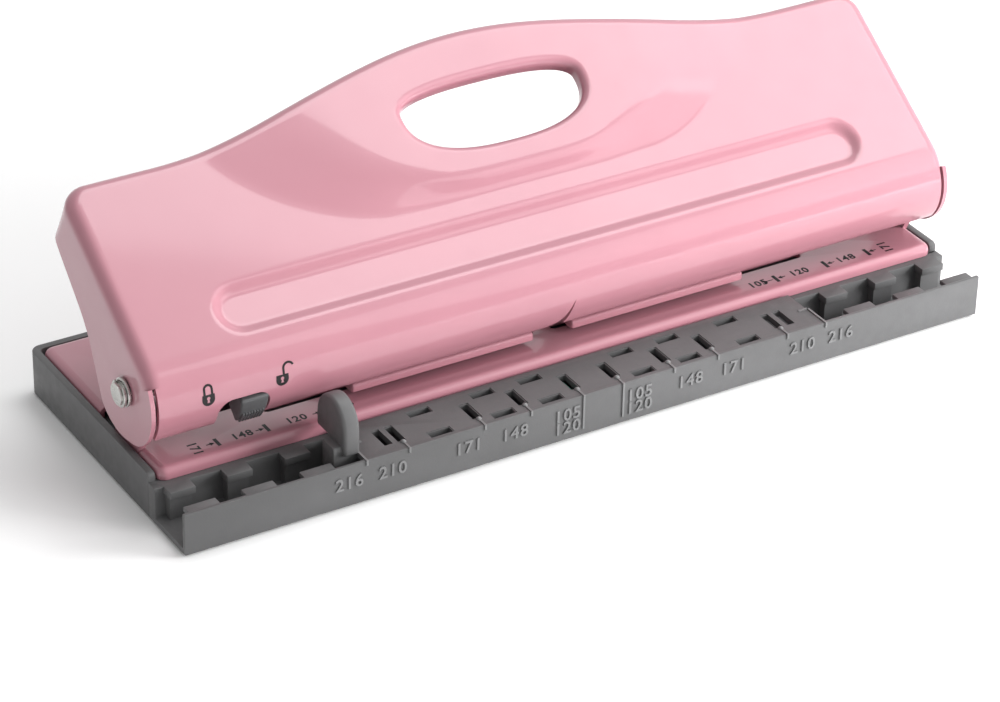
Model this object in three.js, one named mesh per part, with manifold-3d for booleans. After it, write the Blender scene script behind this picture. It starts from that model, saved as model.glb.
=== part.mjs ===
// Adjustable six-hole punch for ring-binder pages: a pressed-steel lever over two sliding
// punch heads, on a steel deck that clips into a moulded tray with a page stop in its front channel.
// Millimetres. +X runs along the length, +Y to the back, +Z up; the origin is on the surface
// that the feet stand on, under the middle of the tray.
import * as THREE from 'three';
import { ConvexGeometry } from 'three/addons/geometries/ConvexGeometry.js';
import { mergeVertices } from 'three/addons/utils/BufferGeometryUtils.js';
import Module from 'manifold-3d';

const wasm = await Module();
wasm.setup();

// ---- driving dimensions ----
const GAP = 0.3;                 // clearance between neighbouring pieces
const HALF_LENGTH = 104.15;      // tray, half its length
const HALF_DEPTH = 38.8;         // tray, half its depth
const FOOT_PROUD = 0.5;          // the tray's underside stands this high on its feet
const WALL_TOP = 10.7;           // front wall and the bridge over the channel
const LEDGE_TOP = 9.4;           // ledge that the deck rests on
const DECK_TOP = 12.3;
const DECK_SHEET = 1.2;
const PIVOT = { y: -11.8, z: 27.0 };
const BARREL_RADIUS = 12.18;     // outside of the handle's rolled front, about the pivot
const SHEET = 1.0;               // handle and cover steel
const PANEL_TILT = 33.73;        // degrees that the handle's panel leans back at rest
const HOLE_PITCH = 19;           // ring holes in each group of three
const HOLE_RADIUS = 3.0;
const HEAD_CENTRE = 28.4;        // each head from the middle, at its innermost setting
const HEAD_HALF = 23.4;
const PIN_Y = -2.0;              // the row of punch pins
const MARK_OFFSET = 55.1;        // the guide's pointer from its page stop

// ---- finishes ----
const finish = (color, roughness, metalness) => new THREE.MeshStandardMaterial({ color, roughness, metalness });
const pinkPaint = () => finish(0xe79fb6, 0.3, 0.1);
const greyPlastic = () => finish(0x6f6c6c, 0.55, 0);
const darkPlastic = () => finish(0x55555a, 0.5, 0);
const steel = () => finish(0xb9bbbe, 0.35, 1);
const rubber = () => finish(0x2b2b2c, 0.9, 0);
const greenPlastic = () => finish(0x1f8a63, 0.5, 0);

// ---- solids ----
// A three.js geometry becomes a solid once its split vertices are merged.
function toSolid(geometry) {
  const bare = geometry.clone();
  bare.deleteAttribute('normal');
  bare.deleteAttribute('uv');
  const merged = mergeVertices(bare, 1e-4);
  return new wasm.Manifold(new wasm.Mesh({
    numProp: 3,
    vertProperties: new Float32Array(merged.attributes.position.array),
    triVerts: new Uint32Array(merged.index.array),
  }));
}

function toGeometry(solid) {
  const mesh = solid.getMesh();
  const geometry = new THREE.BufferGeometry();
  geometry.setAttribute('position', new THREE.BufferAttribute(mesh.vertProperties, 3));
  geometry.setIndex(new THREE.BufferAttribute(mesh.triVerts, 1));
  return geometry;
}

function box([x0, x1], [y0, y1], [z0, z1]) {
  const geometry = new THREE.BoxGeometry(x1 - x0, y1 - y0, z1 - z0);
  geometry.translate((x0 + x1) / 2, (y0 + y1) / 2, (z0 + z1) / 2);
  return toSolid(geometry);
}

function extrude(shape, depth, curveSegments = 8) {
  return new THREE.ExtrudeGeometry(shape, { depth, bevelEnabled: false, curveSegments });
}

// An outline in (x, y), from z0 up to z1.
function prismZ(shape, [z0, z1], curveSegments) {
  const geometry = extrude(shape, z1 - z0, curveSegments);
  geometry.translate(0, 0, z0);
  return toSolid(geometry);
}

// An outline in (y, z), from x0 along to x1.
function prismX(shape, [x0, x1], curveSegments) {
  const geometry = extrude(shape, x1 - x0, curveSegments);
  const turn = new THREE.Matrix4().makeBasis(
    new THREE.Vector3(0, 1, 0), new THREE.Vector3(0, 0, 1), new THREE.Vector3(1, 0, 0));
  geometry.applyMatrix4(turn);
  geometry.translate(x0, 0, 0);
  return toSolid(geometry);
}

const polygon = (points) => new THREE.Shape(points.map(([a, b]) => new THREE.Vector2(a, b)));
const radians = (degrees) => degrees * Math.PI / 180;

// Part of a ring between two radii and two angles, as an outline.
function ringSector(centre, inner, outer, from, to) {
  const shape = new THREE.Shape();
  shape.absarc(centre[0], centre[1], outer, radians(from), radians(to), false);
  shape.absarc(centre[0], centre[1], inner, radians(to), radians(from), true);
  shape.closePath();
  return shape;
}

function roundedBar(x0, x1, y0, y1, radius) {
  const shape = new THREE.Shape();
  shape.moveTo(x0 + radius, y0);
  shape.lineTo(x1 - radius, y0);
  shape.absarc(x1 - radius, y0 + radius, radius, -Math.PI / 2, 0, false);
  shape.lineTo(x1, y1 - radius);
  shape.absarc(x1 - radius, y1 - radius, radius, 0, Math.PI / 2, false);
  shape.lineTo(x0 + radius, y1);
  shape.absarc(x0 + radius, y1 - radius, radius, Math.PI / 2, Math.PI, false);
  shape.lineTo(x0, y0 + radius);
  shape.absarc(x0 + radius, y0 + radius, radius, Math.PI, 1.5 * Math.PI, false);
  return shape;
}

function rod(radius, length, segments = 20) {
  return new THREE.CylinderGeometry(radius, radius, length, segments);
}

function rodX(radius, [x0, x1], y, z, segments) {
  const geometry = rod(radius, x1 - x0, segments);
  geometry.rotateZ(Math.PI / 2);
  geometry.translate((x0 + x1) / 2, y, z);
  return toSolid(geometry);
}

function rodZ(radius, [z0, z1], x, y, segments) {
  const geometry = rod(radius, z1 - z0, segments);
  geometry.rotateX(Math.PI / 2);
  geometry.translate(x, y, (z0 + z1) / 2);
  return toSolid(geometry);
}

function rodY(radius, [y0, y1], x, z, segments) {
  const geometry = rod(radius, y1 - y0, segments);
  geometry.translate(x, (y0 + y1) / 2, z);
  return toSolid(geometry);
}

const joined = (solids) => solids.reduce((whole, solid) => whole.add(solid));
const cutBy = (solid, cutters) => cutters.reduce((left, cutter) => left.subtract(cutter), solid);
const bothSides = (make) => [make(-1), make(1)];
const span = (a, b) => [Math.min(a, b), Math.max(a, b)];

const punch = new THREE.Group();

function addPart(parent, name, shape, material) {
  const mesh = new THREE.Mesh(shape.isBufferGeometry ? shape : toGeometry(shape), material);
  mesh.name = name;
  parent.add(mesh);
  return mesh;
}

// ---- tray ----
const FLOOR = [FOOT_PROUD, 2.0];
const CHANNEL = [-37.5, -24.4];            // from the front wall's back to the ledge's front
const CHANNEL_MIDDLE = -31.7;
const BRIDGE_HALF = 60;
const PAGE_MARKS = [5.2, 18.8, 30.6, 49.6, 52.9];   // pointer places for each page height
const PORT_PLACES = [12.3, 24.6, 40.6];
const TAB_PLACES = [71.2, 85.2, 98.9];
const FOOT_PLACE = { x: 90, y: 31.6, radius: 4.5, pocket: 0.8 };

function trayBody() {
  const full = [-HALF_LENGTH, HALF_LENGTH];
  const wallSpan = [FOOT_PROUD, LEDGE_TOP];
  const sideTop = DECK_TOP - 0.8;
  const sideInner = 102.3;
  const walls = [
    box(full, [-HALF_DEPTH, HALF_DEPTH], FLOOR),
    box(full, [-HALF_DEPTH, CHANNEL[0]], [FOOT_PROUD, WALL_TOP]),
    box(full, [CHANNEL[1], CHANNEL[1] + 3], wallSpan),
    box([-BRIDGE_HALF, BRIDGE_HALF], [-HALF_DEPTH, CHANNEL[1] + 0.8], [WALL_TOP - 1.5, WALL_TOP]),
    box(full, [37.0, HALF_DEPTH], [FOOT_PROUD, sideTop]),
    box(full, [34.8, HALF_DEPTH], [FOOT_PROUD, 7.7]),
    box([-0.8, 0.8], [CHANNEL[1], 37.5], [FOOT_PROUD, 6.5]),
  ];
  for (const side of [-1, 1]) {
    walls.push(box(span(side * sideInner, side * HALF_LENGTH), [-21.5, HALF_DEPTH], [FOOT_PROUD, sideTop]));
    walls.push(box(span(side * 100, side * HALF_LENGTH), [CHANNEL[1], 35.0], wallSpan));
    for (const place of TAB_PLACES) {
      const x = side * place;
      walls.push(box([x - 3.8, x + 3.8], [CHANNEL[0] - 0.5, CHANNEL[0] + 2.4], [9.5, 10.6]));
      walls.push(box([x - 3.1, x + 3.1], [CHANNEL[1] - 3.2, CHANNEL[1] + 0.5], [7.6, LEDGE_TOP]));
      walls.push(box([x - 2.6, x + 2.6], [CHANNEL[1] - 2.2, CHANNEL[1] + 0.5], [FOOT_PROUD, 8.0]));
    }
  }
  return joined(walls);
}

function trayCuts() {
  const through = [WALL_TOP - 2, WALL_TOP + 1];
  const cuts = [];
  for (const side of [-1, 1]) {
    for (const place of PAGE_MARKS) {
      const x = side * place;
      cuts.push(box([x - 1.0, x + 1.0], [CHANNEL_MIDDLE - 2.4, CHANNEL_MIDDLE + 2.4], through));
    }
    for (const place of PORT_PLACES) {
      const x = side * place;
      cuts.push(box([x - 2.6, x + 2.6], [-27.6, -25.8], through));
      cuts.push(box([x - 2.6, x + 2.6], [-37.1, -35.3], through));
    }
    for (const end of [-1, 1]) {
      const pocket = [FOOT_PROUD - 1, FOOT_PROUD + FOOT_PLACE.pocket];
      cuts.push(rodZ(FOOT_PLACE.radius + GAP, pocket, side * FOOT_PLACE.x, end * FOOT_PLACE.y, 20));
    }
  }
  return cuts;
}

addPart(punch, 'base_tray', cutBy(trayBody(), trayCuts()), greyPlastic());

for (const [end, endName] of [[-1, 'front'], [1, 'rear']]) {
  for (const [side, sideName] of [[-1, 'left'], [1, 'right']]) {
    const thickness = FOOT_PROUD + FOOT_PLACE.pocket - GAP;
    const pad = rod(FOOT_PLACE.radius, thickness);
    pad.rotateX(Math.PI / 2);
    const foot = addPart(punch, `foot_${endName}_${sideName}`, pad, rubber());
    foot.position.set(side * FOOT_PLACE.x, end * FOOT_PLACE.y, thickness / 2);
  }
}

// ---- page stop: an upright fin on a tongue that slides in the front channel ----
const FIN = { x: [-64.3, -60.3], centreY: -29.5, halfWidth: 6.4, shoulderZ: 16.5, rise: 6.8, bottomZ: 12.8 };
const STEM = { x: [-66.3, -60.3], y: [-34.6, -29.4], z: [5.6, 13.4] };
const TONGUE = { x: [-66.0, -3.2], y: [-36.6, -27.8], z: [2.4, 5.3] };

function finOutline() {
  const { centreY, halfWidth, shoulderZ, rise, bottomZ } = FIN;
  const shape = new THREE.Shape();
  shape.moveTo(centreY - halfWidth, 10.9);
  shape.lineTo(STEM.y[1], 10.9);
  shape.lineTo(STEM.y[1] + 0.2, bottomZ);
  shape.lineTo(centreY + halfWidth, bottomZ);
  shape.lineTo(centreY + halfWidth, shoulderZ);
  shape.absellipse(centreY, shoulderZ, halfWidth, rise, 0, Math.PI, false, 0);
  shape.closePath();
  return shape;
}

addPart(punch, 'guide_fin', prismX(finOutline(), FIN.x, 10).add(box(STEM.x, STEM.y, STEM.z)), greyPlastic());
addPart(punch, 'guide_tongue', box(TONGUE.x, TONGUE.y, TONGUE.z), greyPlastic());
const pointerX = FIN.x[1] + MARK_OFFSET;
addPart(punch, 'guide_pointer',
  box([pointerX - 0.8, pointerX + 0.8], [CHANNEL_MIDDLE - 3, CHANNEL_MIDDLE + 3], [5.6, 8.9]), greenPlastic());

// ---- deck: one folded sheet with an ear at each end for the axle ----
const DECK = { halfX: 102, front: -22.8, back: 36.5, edgeRadius: 1.5 };
const EAR = { inner: 100.5, outer: 102 };
const AXLE_RADIUS = 2.5;
const WINDOW = { x: [3.0, 80.0], y: [-7.6, 7.1] };       // the die plates slide in it
const RIB_SLOT = { x: [2.2, 71.5], y: [-12.8, -10.2] };  // the carriers' ribs slide in it

function deckSection() {
  const { front, back, edgeRadius } = DECK;
  const under = DECK_TOP - DECK_SHEET;
  const shape = new THREE.Shape();
  shape.moveTo(front, LEDGE_TOP + GAP);
  shape.absarc(front + edgeRadius, DECK_TOP - edgeRadius, edgeRadius, Math.PI, Math.PI / 2, true);
  shape.absarc(back - edgeRadius, DECK_TOP - edgeRadius, edgeRadius, Math.PI / 2, 0, true);
  shape.lineTo(back, 8.0);
  shape.lineTo(back - DECK_SHEET, 8.0);
  shape.lineTo(back - DECK_SHEET, under);
  shape.lineTo(front + DECK_SHEET, under);
  shape.lineTo(front + DECK_SHEET, LEDGE_TOP + GAP);
  shape.closePath();
  return shape;
}

function earOutline() {
  const { y, z } = PIVOT;
  const shape = new THREE.Shape();
  shape.moveTo(y - 0.6, DECK_TOP - DECK_SHEET);
  shape.lineTo(y + 10.6, DECK_TOP - DECK_SHEET);
  shape.lineTo(y + 9.0, 17.0);
  shape.lineTo(y + 6.0, 24.0);
  shape.absarc(y, z, 6.0, 0, Math.PI, false);
  shape.lineTo(y - 4.6, 20.0);
  shape.closePath();
  return shape;
}

function deckFrame() {
  const sheets = [
    prismX(deckSection(), [-DECK.halfX, DECK.halfX], 4),
    ...bothSides((side) => prismX(earOutline(), span(side * EAR.inner, side * EAR.outer), 8)),
  ];
  const cuts = [];
  for (const side of [-1, 1]) {
    const through = [DECK_TOP - 3, DECK_TOP + 1];
    cuts.push(rodX(AXLE_RADIUS + GAP, span(side * 99, side * 103), PIVOT.y, PIVOT.z));
    cuts.push(box(span(side * EAR.inner, side * 103), [-1.0, 6.5], through));
    cuts.push(box(span(side * WINDOW.x[0], side * WINDOW.x[1]), WINDOW.y, through));
    const slot = span(side * RIB_SLOT.x[0], side * RIB_SLOT.x[1]);
    cuts.push(prismZ(roundedBar(slot[0], slot[1], RIB_SLOT.y[0], RIB_SLOT.y[1], 1.25), through, 4));
  }
  return cutBy(joined(sheets), cuts);
}

addPart(punch, 'deck_frame', deckFrame(), pinkPaint());

// ---- axle with its washers and retaining clips ----
const FLANGE = { inner: 103, outer: 104 };
const WASHER_SPAN = [FLANGE.outer + GAP, FLANGE.outer + GAP + 0.7];
const CLIP_SPAN = [WASHER_SPAN[1] + GAP, WASHER_SPAN[1] + GAP + 0.6];
const AXLE_HALF = CLIP_SPAN[1] + 0.5;

addPart(punch, 'axle', rodX(AXLE_RADIUS, [-AXLE_HALF, AXLE_HALF], PIVOT.y, PIVOT.z), steel());

const ringAt = (inner, outer, from, to) => ringSector([PIVOT.y, PIVOT.z], inner, outer, from, to);

for (const [side, sideName] of [[-1, 'left'], [1, 'right']]) {
  const washerX = span(side * WASHER_SPAN[0], side * WASHER_SPAN[1]);
  const washer = rodX(3.4, washerX, PIVOT.y, PIVOT.z, 24)
    .subtract(rodX(AXLE_RADIUS + GAP, [washerX[0] - 1, washerX[1] + 1], PIVOT.y, PIVOT.z, 24));
  addPart(punch, `axle_washer_${sideName}`, washer, steel());
  const clip = prismX(ringAt(AXLE_RADIUS + GAP, 3.3, -240, 60), span(side * CLIP_SPAN[0], side * CLIP_SPAN[1]), 20);
  addPart(punch, `axle_clip_${sideName}`, clip, steel());
}

// ---- lock catch: a bracket on the left ear that the lock's blade slides behind ----
const BLADE = { radii: [7.0, 8.2], angles: [227, 235], x: [-93.6, -76.5] };
const CATCH = { radii: [6.6, 8.8], angles: [211.5, 224.5], tipX: -94 };
const catchFace = -EAR.inner + GAP;
const catchPlate = prismX(ringAt(3.2, CATCH.radii[1], 200, 236), [catchFace, catchFace + 1], 6);
const catchTab = prismX(ringAt(...CATCH.radii, ...CATCH.angles), [catchFace, CATCH.tipX], 4);
addPart(punch, 'lock_catch', catchPlate.add(catchTab), steel());

// ---- handle: drawn in the plane of its panel, then tilted back ----
// In this group x is the length, y runs up the panel and z stands off it.
const PANEL_FACE = 3.0;
const RIM_LOW = -9.0;                       // free edge of the turned-down rim
const HANDLE_END = 47.2;                    // up the panel, at the ends
const HUMP_RISE = 13.35;                    // extra height in the middle
const HUMP_HALF = 82;
const CORNER = 6;
const BARREL = [3.49, PANEL_FACE - BARREL_RADIUS];
const BARREL_HALF = 102.2;
const LIP_ANGLE = 187;                      // free edge of the rolled front
const KNOB_NOTCH = { x: [-88, -75.4], angles: [186.5, 240] };   // angles from the horizontal

const handleFrame = new THREE.Group();
handleFrame.position.set(0, -19.8, 32.7);
handleFrame.rotation.x = radians(PANEL_TILT);
punch.add(handleFrame);

const humpAt = (x) => (Math.abs(x) < HUMP_HALF ? HUMP_RISE * (0.5 + 0.5 * Math.cos(Math.PI * x / HUMP_HALF)) : 0);

function panelPlan(inset, foot) {
  const half = FLANGE.outer - inset;
  const end = HANDLE_END - inset;
  const radius = CORNER - inset;
  const shape = new THREE.Shape();
  shape.moveTo(-half, foot);
  shape.lineTo(half, foot);
  shape.absarc(half - radius, end - radius, radius, 0, Math.PI / 2, false);
  const steps = 20;
  for (let i = 0; i <= steps; i += 1) {
    const x = HUMP_HALF * (1 - 2 * i / steps);
    shape.lineTo(x, end + humpAt(x));
  }
  shape.absarc(-half + radius, end - radius, radius, Math.PI / 2, Math.PI, false);
  shape.closePath();
  return shape;
}

function flangeOutline() {
  const shape = new THREE.Shape();
  const edge = HANDLE_END - CORNER + 0.2;
  shape.moveTo(BARREL[0], PANEL_FACE);
  for (const [up, off] of [[edge, PANEL_FACE], [edge, RIM_LOW - 1.6], [38.6, -11.4], [34.4, -12.2],
    [22.8, -14.5], [15.2, -19.3], [9.5, -23.0], [7.0, -23.8], [2.9, -23.4]]) {
    shape.lineTo(up, off);
  }
  shape.absarc(BARREL[0], BARREL[1], BARREL_RADIUS, radians(232), radians(90), true);
  return shape;
}

function fingerHole() {
  const shape = roundedBar(-22.4, 22.4, 31.7, 49.7, 8.4);
  return prismZ(shape, [-1, PANEL_FACE + SWELL_RISE + 1], 6);
}

// The swelling around the finger hole slopes up from its foot line to its crest line.
const SWELL_RISE = 2.2;
const SWELL_FOOT = { x: 34, up: 52, halfX: 40, halfUp: 30.5, power: 1.6 };
const SWELL_CREST = { x: 10, up: 54, halfX: 28.8, halfUp: 28.2, power: 2 };

// Half of a rounded outline that is open to the rear, as points at height off.
function swellLine({ x, up, halfX, halfUp, power }, off) {
  const points = [];
  const steps = 8;
  for (let i = 0; i <= steps; i += 1) {
    const angle = 0.5 * Math.PI * i / steps;
    const across = x + halfX * Math.cos(angle) ** (2 / power);
    const along = up - halfUp * Math.sin(angle) ** (2 / power);
    points.push(new THREE.Vector3(across, along, off), new THREE.Vector3(-across, along, off));
  }
  points.push(new THREE.Vector3(x + halfX, 66, off), new THREE.Vector3(-x - halfX, 66, off));
  return points;
}

function swelling(face) {
  return toSolid(new ConvexGeometry([
    ...swellLine(SWELL_FOOT, face - 0.4),
    ...swellLine(SWELL_FOOT, face),
    ...swellLine(SWELL_CREST, face + SWELL_RISE),
  ]));
}

const GROOVE = { half: 84.4, low: 3.5, high: 16.3, radius: 6.3 };

function groovePlan(grow) {
  const { half, low, high, radius } = GROOVE;
  return roundedBar(-half - grow, half + grow, low - grow, high + grow, radius + grow);
}

function handleShell() {
  const floor = PANEL_FACE - SHEET;
  const planOver = (inset, foot, heights) => prismZ(panelPlan(inset, foot), heights, 5);
  const swellTop = swelling(PANEL_FACE).intersect(planOver(0, BARREL[0], [floor, PANEL_FACE + 4]));
  const swellHollow = swelling(floor).intersect(planOver(SHEET, BARREL[0], [floor - 1, PANEL_FACE + 4]));
  const pan = planOver(0, BARREL[0], [RIM_LOW, PANEL_FACE]).add(swellTop)
    .subtract(planOver(SHEET, BARREL[0] - 2, [RIM_LOW - 1, floor])).subtract(swellHollow);
  const roll = ringSector(BARREL, BARREL_RADIUS - SHEET, BARREL_RADIUS, 88, LIP_ANGLE);
  const flanges = bothSides((side) => prismX(flangeOutline(), span(side * FLANGE.inner, side * FLANGE.outer), 14));
  const grooveBack = prismZ(groovePlan(0.8), [floor - 1.4, floor + 0.4], 4);
  const body = joined([pan, prismX(roll, [-BARREL_HALF, BARREL_HALF], 18), ...flanges, grooveBack]);
  const cuts = [
    prismZ(groovePlan(-0.4), [PANEL_FACE - 1.4, PANEL_FACE + 1], 4),
    fingerHole(),
    rodX(AXLE_RADIUS + GAP, [-106, 106], BARREL[0], BARREL[1]),
    prismX(ringSector(BARREL, 9, 14, ...KNOB_NOTCH.angles.map((angle) => angle - PANEL_TILT)), KNOB_NOTCH.x, 4),
  ];
  return cutBy(body, cuts);
}

addPart(handleFrame, 'handle_shell', handleShell(), pinkPaint());

// ---- press rod under the panel, with a hanger at each end ----
const PRESS_ROD = { radius: 3.0, y: PIN_Y, z: PIVOT.z + 3.0, halfLength: FLANGE.inner - GAP };
addPart(punch, 'press_rod',
  rodX(PRESS_ROD.radius, [-PRESS_ROD.halfLength, PRESS_ROD.halfLength], PRESS_ROD.y, PRESS_ROD.z), steel());

function rodHanger() {
  const tilt = Math.tan(radians(PANEL_TILT));
  const underside = (y) => 30.3 + (y - PRESS_ROD.y) * tilt + 14.4 - GAP;   // just under the panel
  const plate = polygon([[-7, 26.2], [3, 26.2], [8, underside(8)], [-7, underside(-7)]]);
  const foot = polygon([[-7, underside(-7) - 1.2], [8, underside(8) - 1.2], [8, underside(8)], [-7, underside(-7)]]);
  return prismX(plate, [-0.75, 0.75]).add(prismX(foot, [-5, 0.75]))
    .subtract(rodX(PRESS_ROD.radius + GAP, [-2, 2], PRESS_ROD.y, PRESS_ROD.z));
}

for (const [side, sideName] of [[-1, 'left'], [1, 'right']]) {
  const hanger = addPart(punch, `rod_hanger_${sideName}`, rodHanger(), steel());
  hanger.position.x = side * 90;
}

// ---- lock: a ribbed knob in the notch of the rolled front, with a steel blade inside ----
addPart(punch, 'lock_knob', prismX(ringAt(8.5, 13.3, 189, 226), [-82.9, -76.2], 6), darkPlastic());
addPart(punch, 'lock_blade', prismX(ringAt(...BLADE.radii, ...BLADE.angles), BLADE.x, 3), steel());

// ---- punch heads: the same assembly twice, mirrored by its place ----
const COVER = { front: -16.6, lipLow: 13.6, lipTop: 15.5, step: -8.5, top: 18.0, back: 6.8, low: 8.7 };
const PLATE_HALF = HEAD_HALF - 0.5;
const DIE = { y: [WINDOW.y[0] + GAP, COVER.back - SHEET - GAP], z: [10.4, 12.0] };
const CARRIER = { y: [RIB_SLOT.y[0] + GAP, COVER.back - SHEET - GAP], z: [8.7, 10.1], ribHalf: 17 };
const GUIDE_PLATE = { y: [COVER.step + SHEET + GAP, COVER.back - SHEET - GAP], z: [13.7, 14.9] };
const PIN_TOP = PIVOT.z - GAP;
const SPRING_SPAN = [COVER.top + GAP, PIN_TOP - 1.2 - GAP];
const PIN_OFFSETS = [-HOLE_PITCH, 0, HOLE_PITCH];
const SCREW_OFFSET = 12;
const SCREW_Z = 9.4;

const pinHoles = (radius, zSpan) => PIN_OFFSETS.map((x) => rodZ(radius, zSpan, x, PIN_Y, 24));
const screwHoles = (ySpan) => bothSides((side) => rodY(0.9, ySpan, side * SCREW_OFFSET, SCREW_Z, 12));

function headCover() {
  const { front, lipLow, lipTop, step, top, back, low } = COVER;
  const section = polygon([
    [front, lipLow], [front, lipTop - 0.4], [front + 0.4, lipTop], [step, lipTop], [step, top], [back, top],
    [back, low], [back - SHEET, low], [back - SHEET, top - SHEET], [step + SHEET, top - SHEET],
    [step + SHEET, lipTop - SHEET], [front + SHEET, lipTop - SHEET], [front + SHEET, lipLow]].reverse());
  const cover = prismX(section, [-HEAD_HALF, HEAD_HALF]);
  return cutBy(cover, [...pinHoles(2.4, [top - 2, top + 1]), ...screwHoles([back - 2, back + 1])]);
}

function dieCarrier() {
  const plate = box([-PLATE_HALF, PLATE_HALF], CARRIER.y, CARRIER.z);
  const ribY = [CARRIER.y[0], RIB_SLOT.y[1] - GAP];
  const rib = box([-CARRIER.ribHalf, CARRIER.ribHalf], ribY, [CARRIER.z[0], DIE.z[1]]);
  return cutBy(plate.add(rib), [...pinHoles(3.9, [8, 11]), ...screwHoles([CARRIER.y[1] - 2.4, CARRIER.y[1] + 1])]);
}

function punchPin() {
  const shoulder = 16.5;
  const profile = [[0, 13.8], [HOLE_RADIUS, 13.8], [HOLE_RADIUS, shoulder], [2.0, shoulder + 0.4],
    [2.0, PIN_TOP - 1.2], [3.6, PIN_TOP - 1.2], [3.6, PIN_TOP - 0.3], [3.2, PIN_TOP], [0, PIN_TOP]];
  const geometry = new THREE.LatheGeometry(profile.map(([r, z]) => new THREE.Vector2(r, z)), 20);
  geometry.rotateX(Math.PI / 2);
  return toSolid(geometry);
}

// The coil spring stands here as its own plain envelope, a short tube.
function springEnvelope() {
  const [low, high] = SPRING_SPAN;
  const profile = [[2.4, low], [3.3, low], [3.3, high], [2.4, high], [2.4, low]];
  const geometry = new THREE.LatheGeometry(profile.map(([r, z]) => new THREE.Vector2(r, z)), 16);
  geometry.rotateX(Math.PI / 2);
  return toSolid(geometry);
}

function coverScrew() {
  const headY = [COVER.back + GAP, COVER.back + GAP + 0.9];
  return rodY(1.7, headY, 0, SCREW_Z, 14).add(rodY(0.6, [CARRIER.y[1] - 2, headY[0] + 0.3], 0, SCREW_Z, 10));
}

// A bowed strip between the carrier and the deck that clicks at each setting.
function detentLeaf() {
  const shape = polygon([[-6, 10.4], [6, 10.4], [6, 10.55], [1.4, 10.78], [-1.4, 10.78], [-6, 10.55]]);
  const geometry = extrude(shape, 1.9);
  geometry.rotateX(Math.PI / 2);
  geometry.translate(0, -7.9, 0);
  return toSolid(geometry);
}

for (const [side, sideName] of [[-1, 'left'], [1, 'right']]) {
  const head = new THREE.Group();
  head.position.x = side * HEAD_CENTRE;
  punch.add(head);
  const plateX = [-PLATE_HALF, PLATE_HALF];
  addPart(head, `head_cover_${sideName}`, headCover(), pinkPaint());
  addPart(head, `pin_guide_${sideName}`,
    cutBy(box(plateX, GUIDE_PLATE.y, GUIDE_PLATE.z), pinHoles(HOLE_RADIUS + GAP, [12, 16])), steel());
  addPart(head, `die_plate_${sideName}`,
    cutBy(box(plateX, DIE.y, DIE.z), pinHoles(HOLE_RADIUS + GAP, [9, 13])), steel());
  addPart(head, `die_carrier_${sideName}`, dieCarrier(), darkPlastic());
  addPart(head, `detent_leaf_${sideName}`, detentLeaf(), steel());
  for (const [index, screwSide] of [[1, -1], [2, 1]]) {
    addPart(head, `cover_screw_${sideName}_${index}`, coverScrew(), steel()).position.x = screwSide * SCREW_OFFSET;
  }
  PIN_OFFSETS.forEach((x, index) => {
    addPart(head, `punch_pin_${sideName}_${index + 1}`, punchPin(), steel()).position.set(x, PIN_Y, 0);
    addPart(head, `pin_spring_${sideName}_${index + 1}`, springEnvelope(), steel()).position.set(x, PIN_Y, 0);
  });
}

export default punch;
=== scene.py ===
import math

import bpy
import numpy as np
from mathutils import Matrix, Vector
from mathutils.geometry import delaunay_2d_cdt


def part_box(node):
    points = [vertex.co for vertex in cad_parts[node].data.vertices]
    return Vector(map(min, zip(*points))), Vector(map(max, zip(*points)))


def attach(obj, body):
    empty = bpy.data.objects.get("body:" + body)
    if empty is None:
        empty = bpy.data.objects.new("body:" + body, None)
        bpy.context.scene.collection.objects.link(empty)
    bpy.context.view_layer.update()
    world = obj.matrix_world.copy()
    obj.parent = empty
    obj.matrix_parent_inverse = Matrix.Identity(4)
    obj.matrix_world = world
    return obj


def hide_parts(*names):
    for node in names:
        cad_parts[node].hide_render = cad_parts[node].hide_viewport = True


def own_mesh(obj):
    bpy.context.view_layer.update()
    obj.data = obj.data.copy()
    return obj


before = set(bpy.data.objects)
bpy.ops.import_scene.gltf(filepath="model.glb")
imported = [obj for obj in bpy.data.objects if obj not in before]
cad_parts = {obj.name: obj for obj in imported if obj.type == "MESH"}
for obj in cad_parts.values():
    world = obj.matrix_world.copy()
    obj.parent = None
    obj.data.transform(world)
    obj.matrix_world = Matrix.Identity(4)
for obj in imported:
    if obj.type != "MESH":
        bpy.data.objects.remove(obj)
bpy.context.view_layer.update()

# --------------------------------------
# Studio. A pale floor, a white room that is brighter on the right, one large soft light
# high on the right and two weak ones, and a camera that looks down from the left front.
MM = 0.001


def soft_light(name, place, aim, size, power):
    light = bpy.data.lights.new(name, "AREA")
    light.shape, light.size, light.size_y, light.energy = "RECTANGLE", size[0], size[1], power
    lamp = bpy.data.objects.new(name, light)
    bpy.context.scene.collection.objects.link(lamp)
    lamp.location = place
    lamp.rotation_euler = (Vector(aim) - Vector(place)).to_track_quat("-Z", "Y").to_euler()


azimuth, elevation, roll = (math.radians(angle) for angle in (-31.559, 30.921, 1.269))
back = Vector((math.sin(azimuth) * math.cos(elevation),
               -math.cos(azimuth) * math.cos(elevation), math.sin(elevation)))
level = Vector((0, 0, 1)).cross(back).normalized()
upright = back.cross(level)
right = level * math.cos(roll) + upright * math.sin(roll)
up = upright * math.cos(roll) - level * math.sin(roll)
camera = bpy.data.objects.new("camera", bpy.data.cameras.new("camera"))
camera.data.lens = 135.51            # with a sensor 36 mm wide
camera.data.sensor_width = 36
camera.matrix_world = Matrix((right, up, back)).transposed().to_4x4()
camera.location = (-0.39303, -0.63394, 0.44721)
bpy.context.scene.collection.objects.link(camera)
bpy.context.scene.camera = camera
bpy.context.scene.view_settings.view_transform = "Standard"

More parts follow.
